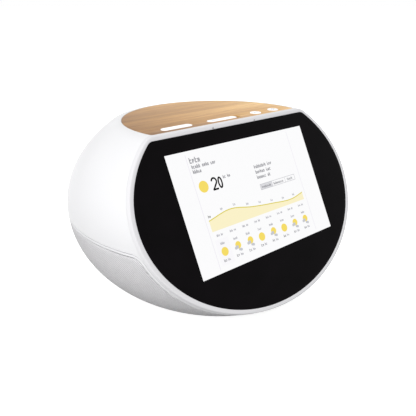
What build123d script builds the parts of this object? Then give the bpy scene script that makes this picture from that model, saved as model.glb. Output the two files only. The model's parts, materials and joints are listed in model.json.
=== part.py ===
from build123d import *

import os
from math import cos, radians, sin, tan

# Smart speaker with a screen: an oblate egg of revolution, cut by a sloping front and a flat top.
# Millimetres. Origin: where the body's upright axis meets the table. +Z up, the screen faces -Y.

# ---- Driving dimensions -------------------------------------------------------------------------
BODY_R = 128.0  # radius at the widest level
BODY_C = 92.5  # vertical semi-axis
BODY_Z = 88.3  # height of the widest level
TOP_Z = 157.1
SHOULDER_R = 16.0  # rounding between side and top

FRONT_TILT = 27.0  # lean of the front, in degrees from upright
SCREEN_Y = -46.9  # middle of the screen, on the front plane
SCREEN_Z = 101.3
SCREEN_W = 150.8  # lit area of a 7-inch 16:10 panel
SCREEN_H = 94.2

GLASS_A = 114.0  # semi-axes of the cover glass
GLASS_B = 86.9
GLASS_TOP = 59.2  # flat top edge, above the screen's middle
GLASS_CORNER = 7.0
GLASS_T = 1.1

FABRIC_Z = 84.3  # upper edge of the grille
FABRIC_DEPTH = 5.3  # front edge of the grille, behind the front plane
FABRIC_CORNER = 7.5
TRIM_W = 2.8

WALL = 2.8
RECESS = 3.4  # how deep the grille's seat lies under the outer surface
LOWER_WALL = 5.8  # inner face of the wall behind the grille
STEP_Z = FABRIC_Z + TRIM_W + 2.0
BEZEL_T = FABRIC_DEPTH - TRIM_W + 0.05

FLOOR_Z = 7.0
FLOOR_T = 2.5
BASE_Z = 1.2
PAD_R = 40.0
PAD_TOP = 2.7
BASE_SCREW_R = 34.0
SCREW_SEAT_Z = 4.4
ENCLOSURE_Z0 = 15.0

WOOD_R = 79.5
WOOD_CHORD = -14.6  # straight front edge of the wood
WOOD_T = 3.0
WOOD_GAP = 0.2
DECK_TOP = TOP_Z - WOOD_T
DECK_Z = DECK_TOP - 2.4

ROW_Y = -6.6  # line of the controls on the wood
PILL_X = -48.8
PILL_L = 29.5
SLOT_W = 7.6
SLIDE_L = 35.0
SLIDE_KNOB_L = 30.7
SLIDE_TRAVEL = 3.7
ROUND_X = (37.8, 59.8)
ROUND_R = 5.1
CAP_GAP = 0.3
CAP_PROUD = 0.4

BOARD_TOP = 145.2  # button board
BOARD_T = 1.6
BOARD_SCREWS_X = (-69.0, -28.0, 28.2, 69.0)

DRIVER_Y = 12.0
DRIVER_Z = 56.0
DRIVER_X = 82.0  # side face of the sound enclosure
DRIVER_R = 26.0
DUCT_R = 24.5
CONE_R = 18.5

PORT_Z = 42.0
PORT_L = 30.0
PORT_H = 16.0
PORT_FLOOR_Y = 94.0
PORT_WALL = 1.6

BIG = 400.0
FROM_BOTTOM = (Align.CENTER, Align.CENTER, Align.MIN)
FROM_TOP = (Align.CENTER, Align.CENTER, Align.MAX)
FRONT_UP = tan(radians(FRONT_TILT))
FRONT_COS = cos(radians(FRONT_TILT))
FRONT_NORMAL = (0, -cos(radians(FRONT_TILT)), sin(radians(FRONT_TILT)))
FRONT = Plane(origin=(0, SCREEN_Y, SCREEN_Z), x_dir=(1, 0, 0), z_dir=FRONT_NORMAL).location


# ---- Shared shapes ------------------------------------------------------------------------------
def levels(z0, z1):
    """Everything between two heights."""
    return Pos(0, 0, z0) * Box(BIG, BIG, z1 - z0, align=FROM_BOTTOM)


def behind(depth):
    """Everything deeper than depth behind the front plane."""
    block = Box(BIG, BIG, BIG, align=FROM_TOP)
    return FRONT * Pos(0, 0, -depth) * block


def front_slab(sketch, near, far):
    """A plate parallel to the front plane, from depth near to depth far."""
    return FRONT * Pos(0, 0, -far) * extrude(sketch, amount=far - near)


def front_post(s, t, near, far, radius):
    """A post square to the front plane, at s to the right and t up from the screen's middle."""
    return front_slab(Pos(s, t) * Circle(radius), near, far)


def upright(sketch, z0, z1):
    return Pos(0, 0, z0) * extrude(sketch, amount=z1 - z0)


def egg(inset):
    """The body of revolution, with its surface moved in by inset."""
    a = BODY_R - inset
    c = BODY_C - inset
    half = Ellipse(a, c) & Pos(a / 2, 0) * Rectangle(a, 2 * c)
    return Pos(0, 0, BODY_Z) * revolve(Plane.XZ * half, Axis.Z)


def egg_with_flat_top():
    """The outer shape: the egg, flat on top, with a rounded shoulder."""
    height = TOP_Z - BODY_Z
    half = Ellipse(BODY_R, BODY_C) & Pos(BODY_R / 2, height - BODY_C) * Rectangle(BODY_R, 2 * BODY_C)
    shoulder = half.vertices().sort_by(Axis.Y)[-2:].sort_by(Axis.X)[-1]
    half = fillet(shoulder, SHOULDER_R)
    return Pos(0, 0, BODY_Z) * revolve(Plane.XZ * half, Axis.Z)


def grille_zone(grow):
    """The prism the grille lies in: below a level line and behind a line along the front."""
    top = FABRIC_Z + grow
    depth = FABRIC_DEPTH - grow

    def line_y(z):
        return SCREEN_Y + (z - SCREEN_Z) * FRONT_UP + depth / FRONT_COS

    low = -BODY_C
    outline = Polygon((line_y(top), top), (BIG, top), (BIG, low), (line_y(low), low), align=None)
    corner = outline.vertices().sort_by_distance((line_y(top), top, 0))[0]
    outline = fillet(corner, FABRIC_CORNER + grow)
    return extrude(Plane.YZ * outline, amount=BIG / 2, both=True)


def glass_outline(grow):
    """The ellipse of the glass with its flat top edge and rounded top corners."""
    below = Pos(0, GLASS_TOP + grow - BIG / 2) * Rectangle(BIG, BIG)
    outline = Ellipse(GLASS_A + grow, GLASS_B + grow) & below
    return fillet(outline.vertices().sort_by(Axis.Y)[-2:], GLASS_CORNER)


def wood_outline(grow):
    """A disc cut off straight at the front."""
    rear = Pos(0, WOOD_CHORD - grow + BIG / 2) * Rectangle(BIG, BIG)
    outline = Circle(WOOD_R + grow) & rear
    return fillet(outline.vertices().sort_by(Axis.Y)[:2], 1.5)


def pill(grow):
    return Pos(PILL_X, ROW_Y) * SlotOverall(PILL_L + 2 * grow, SLOT_W + 2 * grow)


def slide_slot(grow):
    return Pos(0, ROW_Y) * SlotOverall(SLIDE_L + 2 * grow, SLOT_W + 2 * grow)


def round_hole(x, grow):
    return Pos(x, ROW_Y) * Circle(ROUND_R + grow)


def control_openings(z0, z1):
    sketches = [pill(0), slide_slot(0)] + [round_hole(x, 0) for x in ROUND_X]
    return [upright(sketch, z0, z1) for sketch in sketches]


def across(radius, x0, x1, y=DRIVER_Y, z=DRIVER_Z):
    """A cylinder along X."""
    return Pos(x0, y, z) * Rot(0, 90, 0) * Cylinder(radius, x1 - x0, align=FROM_BOTTOM)


def port_prism(grow, y0, y1):
    """The rear port's pill-shaped outline, run along Y."""
    outline = Pos(0, PORT_Z) * SlotOverall(PORT_L + 2 * grow, PORT_H + 2 * grow)
    return Pos(0, y1, 0) * extrude(Plane.XZ * outline, amount=y1 - y0)


def screw(head_r, head_h, shank_r, shank_l):
    """A pan-head screw pointing to +Z, with the underside of its head at the origin."""
    head = Pos(0, 0, -head_h / 2) * Cylinder(head_r, head_h)
    slot = Pos(0, 0, -head_h) * Box(head_r * 1.2, head_h * 0.4, head_h)
    shank = Pos(0, 0, shank_l / 2) * Cylinder(shank_r, shank_l)
    return head - slot + shank


def save(name, shape):
    solids = list(shape) if isinstance(shape, list) else shape.solids()
    part = solids[0] if len(solids) == 1 else Compound(children=[Solid(s.wrapped) for s in solids])
    part.label = name
    export_step(part, "parts/" + name + ".step")


def group(shapes):
    return [solid for shape in shapes for solid in shape.solids()]


# ---- Housing ------------------------------------------------------------------------------------
OUTER = egg_with_flat_top()
GRILLE_SEAT = egg(RECESS)


def housing_wall():
    """Both halves of the housing before they are parted: full skin above, a set-back wall below."""
    wall = OUTER & behind(BEZEL_T) & levels(FLOOR_Z, TOP_Z)
    wall -= grille_zone(TRIM_W) - GRILLE_SEAT
    wall -= egg(WALL) & levels(STEP_Z, DECK_Z)
    wall -= egg(LOWER_WALL) & levels(FLOOR_Z + FLOOR_T, STEP_Z)
    return wall


WALLS = housing_wall()


def upper_housing():
    """White upper half with the deck under the wood and the button board's posts."""
    shell = WALLS - grille_zone(TRIM_W)
    shell -= upright(wood_outline(WOOD_GAP), DECK_TOP, TOP_Z)
    shell -= control_openings(DECK_Z - 1, DECK_TOP)
    for x in BOARD_SCREWS_X:
        shell += upright(Pos(x, ROW_Y) * Circle(2.5), BOARD_TOP, DECK_Z)
        shell -= upright(Pos(x, ROW_Y) * Circle(1.0), BOARD_TOP, DECK_Z)
    for s in (-MIC_S, MIC_S):
        shell -= front_slab(Pos(s, MIC_POCKET_T) * Rectangle(16, 7.3), BEZEL_T, 6.0)
    return shell


def lower_housing():
    """Wall behind the grille, with the driver openings, the port's opening and the floor."""
    shell = WALLS & grille_zone(TRIM_W)
    shell -= Pos(0, 0, FLOOR_Z) * Cylinder(BASE_SCREW_R - 8, 4 * FLOOR_T)
    shell -= across(DUCT_R, -BODY_R, BODY_R)
    shell -= port_prism(PORT_WALL + 0.2, PORT_FLOOR_Y - 20, BODY_R)
    for place in base_screw_places():
        shell += place * Pos(0, 0, FLOOR_Z) * Cylinder(4, ENCLOSURE_Z0 - FLOOR_Z, align=FROM_BOTTOM)
        shell -= place * Cylinder(1.55, BIG / 2)
    return shell


def base_screw_places():
    return PolarLocations(BASE_SCREW_R, 4, start_angle=45)


def base_plate():
    plate = egg(0.3) & levels(BASE_Z, FLOOR_Z)
    plate -= upright(Circle(PAD_R + 0.3), 0, PAD_TOP)
    plate -= upright(Circle(26), 4.5, FLOOR_Z)
    for place in base_screw_places():
        plate -= place * Pos(0, 0, SCREW_SEAT_Z) * Cylinder(3.2, 10, align=FROM_TOP)
        plate -= place * Cylinder(1.7, 30)
    return plate


def base_foot_pad():
    pad = upright(Circle(PAD_R), 0, PAD_TOP)
    return chamfer(pad.edges().sort_by(Axis.Z)[0], 0.6)


def base_screws():
    one = Pos(0, 0, SCREW_SEAT_Z) * screw(2.8, 1.6, 1.5, 9.8)
    return group([place * one for place in base_screw_places()])


# ---- Grille -------------------------------------------------------------------------------------
GRILLE_LOW_Z = FLOOR_Z + 0.3
PERFORATION_R = 1.5
PERFORATION_PITCH = 5.0


def grille_layer(outer, inner, edge):
    """A layer of the grille between two insets, edge inside the grille's outline."""
    layer = (egg(outer) - egg(inner)) & grille_zone(-edge) & levels(GRILLE_LOW_Z, FABRIC_Z)
    return layer - port_prism(PORT_WALL + 0.2, 0, BODY_R + 10)


def grille_frame():
    frame = grille_layer(1.5, 3.2, 0.3)
    places = HexLocations(PERFORATION_PITCH / 2, 9, 9)
    near = [place for place in places if place.position.length < DUCT_R - 2 * PERFORATION_R]
    drills = [
        across(PERFORATION_R, -BODY_R, BODY_R, DRIVER_Y + place.position.X, DRIVER_Z + place.position.Y)
        for place in near
    ]
    return frame - drills


def grille_fabric():
    return grille_layer(0.3, 1.45, 0.15)


def grille_trim_ring():
    ring = grille_zone(TRIM_W - 0.1) - grille_zone(0.1)
    return (OUTER & behind(BEZEL_T + 0.05) & levels(GRILLE_LOW_Z, TOP_Z) & ring) - egg(RECESS - 0.1)


# ---- Front and screen ---------------------------------------------------------------------------
POCKET_DEPTH = 1.55
LCD_T = 1.7
BACKLIGHT_T = 3.6
FRAME_NEAR = 7.0
FRAME_FAR = 9.0
BOARD_NEAR = 13.0
BOARD_FAR = BOARD_NEAR + BOARD_T
LCD_NEAR = GLASS_T + 0.2
BEZEL_POSTS = [(94, 26), (94, -26), (48, -62), (-94, 26), (-94, -26), (-48, -62)]
BOARD_POSTS = [(50, 24), (50, -34), (-50, 24), (-50, -34)]
MIC_S = 23.0
MIC_T = 60.15
MIC_POCKET_T = 57.65


def panel(extra):
    return RectangleRounded(SCREEN_W + extra, SCREEN_H + extra - 1, 2)


def front_bezel():
    bezel = OUTER & behind(0) & (behind(0) - behind(BEZEL_T))
    bezel -= front_slab(glass_outline(0.2), -5, POCKET_DEPTH)
    bezel -= front_slab(panel(16), 0, BEZEL_T + 1)
    for s, t in BEZEL_POSTS:
        bezel += front_post(s, t, BEZEL_T, FRAME_NEAR, 3.0)
        bezel -= front_post(s, t, BEZEL_T, FRAME_NEAR, 1.2)
    for s in (-MIC_S, MIC_S):
        bezel -= front_post(s, MIC_T, -1, BEZEL_T, 0.55)
    return bezel


def cover_glass():
    return front_slab(glass_outline(0), 0.1, 0.1 + GLASS_T)


def glass_adhesive():
    return front_slab(glass_outline(-0.6) - panel(19), GLASS_T + 0.1, POCKET_DEPTH)


def lcd_panel():
    return front_slab(panel(11), LCD_NEAR, LCD_NEAR + LCD_T)


def backlight_unit():
    return front_slab(panel(13), LCD_NEAR + LCD_T, LCD_NEAR + LCD_T + BACKLIGHT_T)


def display_frame():
    outline = Ellipse(104, 76) & Pos(0, 51 - BIG / 2) * Rectangle(BIG, BIG)
    outline -= Pos(0, -58) * SlotOverall(40, 6)
    outline -= [Pos(s, 38) * SlotOverall(36, 8) for s in (-30, 30)]
    frame = front_slab(outline, FRAME_NEAR, FRAME_FAR)
    for s, t in BOARD_POSTS:
        frame += front_post(s, t, FRAME_FAR, BOARD_NEAR, 2.8)
        frame -= front_post(s, t, FRAME_FAR, BOARD_NEAR, 1.0)
    for s, t in BEZEL_POSTS:
        frame -= front_post(s, t, FRAME_NEAR, FRAME_FAR, 1.4)
    return frame


def display_frame_screws():
    return group([FRONT * Pos(s, t, -FRAME_FAR) * screw(2.4, 1.4, 1.15, 5.5) for s, t in BEZEL_POSTS])


def mainboard():
    board = front_slab(Pos(0, -5) * RectangleRounded(112, 72, 3), BOARD_NEAR, BOARD_FAR)
    return board - [front_post(s, t, BOARD_NEAR, BOARD_FAR, 1.3) for s, t in BOARD_POSTS]


CANS = [(-22, 4, 36, 28), (24, -14, 32, 26)]
CAN_H = 2.6


def shield_cans():
    cans = []
    for s, t, width, height in CANS:
        can = front_slab(Pos(s, t) * RectangleRounded(width, height, 1), BOARD_FAR, BOARD_FAR + CAN_H)
        inside = Pos(s, t) * Rectangle(width - 0.8, height - 0.8)
        can -= front_slab(inside, BOARD_FAR, BOARD_FAR + CAN_H - 0.4)
        cans.append(can)
    return group(cans)


def heat_spreader():
    near = BOARD_FAR + CAN_H
    plate = front_slab(Pos(0, -5) * RectangleRounded(88, 50, 4), near, near + 1.5)
    fins = [front_slab(Pos(0, t) * Rectangle(80, 1.2), near + 1.5, near + 4.5) for t in range(-25, 20, 8)]
    return plate + fins


def board_screws():
    main = [FRONT * Pos(s, t, -BOARD_FAR) * screw(2.0, 1.2, 0.95, 4.5) for s, t in BOARD_POSTS]
    jack = [Pos(x, JACK_SCREW_Y, JACK_BOARD_Z + BOARD_T) * Rot(180, 0, 0) * screw(2.0, 1.2, 0.95, 2.8)
            for x in (-JACK_SCREW_X, JACK_SCREW_X)]
    return group(main + jack)


def microphone_boots():
    boots = []
    for s in (-MIC_S, MIC_S):
        boot = front_slab(Pos(s, MIC_POCKET_T) * RectangleRounded(8, 6.5, 1), BEZEL_T, BEZEL_T + 2)
        boots.append(boot - front_post(s, MIC_T, BEZEL_T, BEZEL_T + 2, 0.55))
    return group(boots)


def microphone_boards():
    near = BEZEL_T + 2
    boards = [front_slab(Pos(s, MIC_POCKET_T) * Rectangle(14, 6.5), near, near + 1) for s in (-MIC_S, MIC_S)]
    return group(boards)


# ---- Top and controls ---------------------------------------------------------------------------
CAP_TOP = TOP_Z + CAP_PROUD
FLANGE_Z = DECK_Z - 1.8
FLANGE_TOP = DECK_Z - 0.3
NUB_Z = FLANGE_Z - 0.9
SWITCH_TOP = 148.1
SWITCH_BORE_R = 1.75
SLIDE_PROUD = 0.1
SHUTTER_Z = DECK_Z - 1.7
LEVER_X = -SLIDE_TRAVEL / 2


def wood_top_panel():
    panel_top = upright(wood_outline(0), DECK_TOP, TOP_Z)
    return panel_top - control_openings(DECK_TOP, TOP_Z)


def press_cap(outline, flange, x):
    """A button cap: a stem through the wood and deck, a flange that holds it in, and a nub below."""
    stem = upright(outline, FLANGE_TOP, CAP_TOP)
    stem = fillet(stem.edges().group_by(Axis.Z)[-1], 0.35)
    nub = upright(Pos(x, ROW_Y) * Circle(1.5), NUB_Z, FLANGE_Z)
    return stem + upright(flange, FLANGE_Z, FLANGE_TOP) + nub


def switch_plunger(x):
    return upright(Pos(x, ROW_Y) * Circle(SWITCH_BORE_R - 0.1), BOARD_TOP + 1.5, NUB_Z)


def pill_button():
    return press_cap(pill(-CAP_GAP), pill(1.2), PILL_X)


def round_button(x):
    return press_cap(round_hole(x, -CAP_GAP), round_hole(x, 1.2), x)


def slide_switch_knob():
    middle = -SLIDE_L / 2 + CAP_GAP + SLIDE_KNOB_L / 2
    outline = Pos(middle, ROW_Y) * SlotOverall(SLIDE_KNOB_L, SLOT_W - 2 * CAP_GAP)
    knob = upright(outline, SHUTTER_Z + 1.3, TOP_Z + SLIDE_PROUD)
    return fillet(knob.edges().group_by(Axis.Z)[-1], 0.3)


def slide_shutter():
    plate = upright(Pos(LEVER_X, ROW_Y) * RectangleRounded(44.5, 10.5, 2), SHUTTER_Z, SHUTTER_Z + 1.3)
    lever = upright(Pos(LEVER_X, ROW_Y) * Rectangle(1.6, 1.6), BOARD_TOP + 1.6, SHUTTER_Z)
    return plate + lever


def button_board():
    board = upright(Pos(0, ROW_Y) * RectangleRounded(145, 14, 2), BOARD_TOP - BOARD_T, BOARD_TOP)
    return board - [upright(Pos(x, ROW_Y) * Circle(1.1), 100, BOARD_TOP) for x in BOARD_SCREWS_X]


def push_switches():
    bodies = []
    for x in (PILL_X,) + ROUND_X:
        body = upright(Pos(x, ROW_Y) * RectangleRounded(6.2, 6.2, 0.5), BOARD_TOP, SWITCH_TOP)
        bodies.append(body - upright(Pos(x, ROW_Y) * Circle(SWITCH_BORE_R), BOARD_TOP + 0.6, SWITCH_TOP))
    return group(bodies)


def slide_switch_body():
    body = upright(Pos(0, ROW_Y) * RectangleRounded(10, 5, 0.5), BOARD_TOP, SWITCH_TOP)
    return body - upright(Pos(0, ROW_Y) * Rectangle(SLIDE_TRAVEL + 2.4, 2.4), BOARD_TOP + 1.2, SWITCH_TOP)


def button_board_screws():
    low = BOARD_TOP - BOARD_T
    return group([Pos(x, ROW_Y, low) * screw(1.9, 1.2, 0.95, 6.0) for x in BOARD_SCREWS_X])


# ---- Sound enclosure ----------------------------------------------------------------------------
ENCLOSURE_TOP = 84.0
ENCLOSURE_REAR = 60.0
ENCLOSURE_DEPTH = 26.0
ENCLOSURE_WALL = 2.5
GASKET_T = 0.6
LID_T = 2.6
LID_BOSSES = [(75.5, -18.5), (75.5, 46.0), (25.0, 56.0), (-75.5, -18.5), (-75.5, 46.0), (-25.0, 56.0)]
LEAD_X = 50.0
LEAD_R = 1.0


def enclosure_block(inset, z0, z1):
    """The enclosure's outline between two levels, moved in by inset."""
    side = 2 * (DRIVER_X - inset)
    block = Box(side, BIG, BIG, align=(Align.CENTER, Align.MAX, Align.CENTER))
    block = Pos(0, ENCLOSURE_REAR - inset, BODY_Z) * block
    return egg(LOWER_WALL + 1.7 + inset) & block & behind(ENCLOSURE_DEPTH + inset) & levels(z0, z1)


def lid_boss(x, y, radius, z0, z1):
    return upright(Pos(x, y) * Circle(radius), z0, z1)


def speaker_enclosure():
    box = enclosure_block(0, ENCLOSURE_Z0, ENCLOSURE_TOP)
    outer = box
    box = box - enclosure_block(ENCLOSURE_WALL, ENCLOSURE_Z0 + ENCLOSURE_WALL, ENCLOSURE_TOP)
    for x, y in LID_BOSSES:
        box += lid_boss(x, y, 4.2, ENCLOSURE_TOP - 10, ENCLOSURE_TOP) & outer
    for x, y in LID_BOSSES:
        box -= lid_boss(x, y, 1.2, ENCLOSURE_TOP - 8, ENCLOSURE_TOP)
    for side in (-1, 1):
        box -= driver_screw_holes(side, 1.05)
    return box - across(DRIVER_R - 2.5, -DRIVER_X - 5, DRIVER_X + 5)


def enclosure_gasket():
    top = ENCLOSURE_TOP + GASKET_T
    ring = enclosure_block(0.3, ENCLOSURE_TOP, top) - enclosure_block(ENCLOSURE_WALL, ENCLOSURE_TOP, top)
    return ring - [lid_boss(x, y, 1.5, ENCLOSURE_TOP, top) for x, y in LID_BOSSES]


def enclosure_lid():
    low = ENCLOSURE_TOP + GASKET_T
    lid = enclosure_block(0, low, low + LID_T)
    lid -= [lid_boss(x, y, 1.5, low, low + LID_T) for x, y in LID_BOSSES]
    return lid - [lid_boss(x, 0, LEAD_R + 0.1, low, low + LID_T) for x in (-LEAD_X, LEAD_X)]


def enclosure_screws():
    top = ENCLOSURE_TOP + GASKET_T + LID_T
    return group([Pos(x, y, top) * Rot(180, 0, 0) * screw(2.6, 1.5, 1.15, 9.0) for x, y in LID_BOSSES])


# ---- Drivers, one at each side, firing along X -------------------------------------------------
GASKET_X = DRIVER_X + 0.5
FLANGE_X = GASKET_X + 2.0
MAGNET_X = 66.0
GAP_IN = 6.4
GAP_OUT = 8.6


def spin(points, side):
    """A ring turned about the driver's axis, from points (distance along X, radius)."""
    outline = Polygon(*points, align=None)
    ring = revolve(outline, Axis.X)
    ring = Pos(0, DRIVER_Y, DRIVER_Z) * ring
    return ring if side > 0 else mirror(ring, about=Plane.YZ)


def driver_basket(side):
    flange = [(GASKET_X, 21), (FLANGE_X, 21), (FLANGE_X, DRIVER_R), (GASKET_X, DRIVER_R)]
    cone = [(GASKET_X, 21), (GASKET_X, 22.5), (MAGNET_X, 15.5), (MAGNET_X, 11), (MAGNET_X + 1.2, 11),
            (MAGNET_X + 1.2, 14.5)]
    basket = spin(flange, side) + spin(cone, side)
    window = Pos(side * (MAGNET_X + 9), 0, 0) * Box(9, 60, 9)
    basket -= [Pos(0, DRIVER_Y, DRIVER_Z) * Rot(angle, 0, 0) * window for angle in (0, 60, 120)]
    return basket - driver_screw_holes(side, 1.5)


def driver_screw_places():
    return [Pos(0, DRIVER_Y, DRIVER_Z) * Rot(angle, 0, 0) * Pos(0, 0, 24.0) for angle in (45, 135, 225, 315)]


def driver_screw_holes(side, radius):
    low = min(side * (DRIVER_X - 10), side * (FLANGE_X + 1))
    length = FLANGE_X + 11 - DRIVER_X
    rod = Pos(low + length / 2, 0, 0) * Rot(0, 90, 0) * Cylinder(radius, length)
    return [place * rod for place in driver_screw_places()]


def driver_magnet(side):
    back = [(54, 0), (56.5, 0), (56.5, 16), (54, 16)]
    pole = [(56.5, 0), (MAGNET_X, 0), (MAGNET_X, GAP_IN), (56.5, GAP_IN)]
    ring = [(56.5, GAP_OUT), (MAGNET_X, GAP_OUT), (MAGNET_X, 16), (56.5, 16)]
    return spin(back, side) + spin(pole, side) + spin(ring, side)


def driver_cone(side):
    """Paper cone, dust cap and coil former in one glued piece."""
    cone = [(72.0, 7.1), (73.0, 7.1), (83.5, CONE_R - 1), (84.0, CONE_R), (83.3, CONE_R), (72.0, 8.0)]
    former = [(61.0, 7.1), (73.0, 7.1), (73.0, 7.5), (61.0, 7.5)]
    cap = [(76.4, 0), (77.2, 0), (76.5, 4.5), (74.4, 8.9), (73.6, 8.4), (75.7, 4.2)]
    return spin(cone, side) + spin(former, side) + spin(cap, side)


def voice_coil(side):
    return spin([(61.5, 7.5), (65.5, 7.5), (65.5, 8.1), (61.5, 8.1)], side)


def driver_surround(side):
    """Rubber half-roll from the flange's face to the cone's edge, clear of the cone."""
    middle = CONE_R + 1.45
    roll = Pos(FLANGE_X, middle) * (Circle(1.1) - Circle(0.7))
    roll &= Pos(FLANGE_X + 2, middle) * Rectangle(4, 6)
    lip = Pos(FLANGE_X + 0.2, middle + 1.6) * Rectangle(0.4, 1.2)
    ring = Pos(0, DRIVER_Y, DRIVER_Z) * revolve(roll + lip, Axis.X)
    return ring if side > 0 else mirror(ring, about=Plane.YZ)


def driver_spider(side):
    """Corrugated disc that centres the coil, clear of the moving former."""
    wave = [(68.2, 8.4), (69.0, 10), (68.2, 12), (69.0, 14)]
    back = [(x + 0.6, radius) for x, radius in reversed(wave)]
    return spin(wave + back, side)


def driver_spiders():
    return group([driver_spider(-1), driver_spider(1)])


def driver_gaskets():
    ring = [(DRIVER_X, 23.5), (GASKET_X, 23.5), (GASKET_X, DRIVER_R), (DRIVER_X, DRIVER_R)]
    gaskets = []
    for side in (-1, 1):
        gaskets.append(spin(ring, side) - driver_screw_holes(side, 1.5))
    return group(gaskets)


def driver_screws():
    screws = []
    for side in (-1, 1):
        turn = Rot(0, -90 * side, 0)
        for place in driver_screw_places():
            screws.append(place * Pos(side * FLANGE_X, 0, 0) * turn * screw(1.8, 1.0, 1.0, 7.0))
    return group(screws)


def grille_duct_seals():
    """Foam sleeves that carry the sound from each driver to the housing wall."""
    seals = []
    for side in (-1, 1):
        sleeve = across(DRIVER_R + 1.5, FLANGE_X + 0.2, BODY_R) - across(DRIVER_R, FLANGE_X + 0.2, BODY_R)
        sleeve &= egg(LOWER_WALL + 0.1)
        seals.append(sleeve if side > 0 else mirror(sleeve, about=Plane.YZ))
    return group(seals)


# ---- Rear power inlet ---------------------------------------------------------------------------
SHELF_Z = 32.6
SHELF_T = 2.0
JACK_BOARD_Z = SHELF_Z + SHELF_T + 1.5
JACK_SCREW_X = 14.0
JACK_SCREW_Y = 68.0
JACK_TOP = PORT_Z + 5.2


def port_housing():
    cup = port_prism(PORT_WALL, PORT_FLOOR_Y - 2, BODY_R) & egg(0.3)
    cup -= port_prism(0, PORT_FLOOR_Y, BODY_R)
    cup -= port_socket(3.3)
    shelf = upright(Pos(0, 78) * Rectangle(36, 32), SHELF_Z, SHELF_Z + SHELF_T)
    cup += shelf & egg(LOWER_WALL + 0.3) & (levels(0, TOP_Z) - port_prism(0, PORT_FLOOR_Y, BODY_R))
    for x in (-JACK_SCREW_X, JACK_SCREW_X):
        cup += upright(Pos(x, JACK_SCREW_Y) * Circle(2.6), SHELF_Z + SHELF_T, JACK_BOARD_Z)
        cup -= upright(Pos(x, JACK_SCREW_Y) * Circle(1.0), SHELF_Z - 1, JACK_BOARD_Z)
    return cup


def port_socket(radius):
    bore = Cylinder(radius, 10)
    return Pos(0, PORT_FLOOR_Y, PORT_Z) * Rot(90, 0, 0) * bore


def power_jack():
    body = upright(Pos(0, 84.9) * Rectangle(9.4, 14), JACK_BOARD_Z + BOARD_T, JACK_TOP)
    bore = Pos(0, 92 - 5.5, PORT_Z) * Rot(90, 0, 0) * Cylinder(2.8, 11)
    return body - bore


def power_jack_pin():
    return Pos(0, 85.5, PORT_Z) * Rot(90, 0, 0) * Cylinder(1.05, 9)


def jack_board():
    board = upright(Pos(0, 77) * Rectangle(36, 28), JACK_BOARD_Z, JACK_BOARD_Z + BOARD_T)
    holes = [upright(Pos(x, JACK_SCREW_Y) * Circle(1.3), 30, 40) for x in (-JACK_SCREW_X, JACK_SCREW_X)]
    return board - holes


# ---- Inner cables -------------------------------------------------------------------------------
RIBBON_T = 0.3


def ribbon(points, width, x):
    """A flat cable: a bent strip in the YZ plane, run along X."""
    strip = offset(Plane.YZ * Polyline(*points), RIBBON_T / 2, side=Side.BOTH)
    return Pos(x - width / 2, 0, 0) * extrude(make_face(strip), amount=width, dir=(1, 0, 0))


def front_point(t, depth):
    """(y, z) of a point t up the front plane and depth behind it."""
    y = SCREEN_Y + t * sin(radians(FRONT_TILT)) + depth * FRONT_COS
    return (y, SCREEN_Z + t * FRONT_COS - depth * sin(radians(FRONT_TILT)))


def cable(points, radii, radius):
    path = FilletPolyline(*points, radius=radii)
    start = Plane(origin=path @ 0, z_dir=path % 0)
    return sweep(start * Circle(radius), path)


def display_ribbon():
    edge = [front_point(-54.2, 4.5), front_point(-57.5, 4.5)]
    board = [front_point(-57.5, 16.5), front_point(-35, 16.5)]
    return ribbon(edge + board, 30, 0)


def button_ribbon():
    under = BOARD_TOP - BOARD_T - 0.2
    top = [(2.0, under), (-2.0, under), (-6.0, 128)]
    return ribbon(top + [front_point(26, 20), front_point(22, 15.2)], 12, -12)


def speaker_lead(side):
    x = LEAD_X * side
    ahead = front_point(8, 24)
    end = front_point(8, BOARD_FAR + 0.05)
    points = [(68 * side, 12, 75.5), (58 * side, 7, 77), (x, 0, 79), (x, 0, 93), (x, *ahead), (x, *end)]
    return cable(points, [6, 4, 5, 8], LEAD_R)


def speaker_leads():
    return group([speaker_lead(-1), speaker_lead(1)])


def power_lead():
    ahead = front_point(26, 24)
    end = front_point(26, BOARD_FAR + 0.05)
    points = [(6, 74, JACK_BOARD_Z + BOARD_T), (7, 70, 60), (9, 68, 86), (12, 50, 104), (16, 15, 110)]
    points += [(20, *ahead), (20, *end)]
    return cable(points, [40, 18, 30, 60, 8], 1.4)


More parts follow.
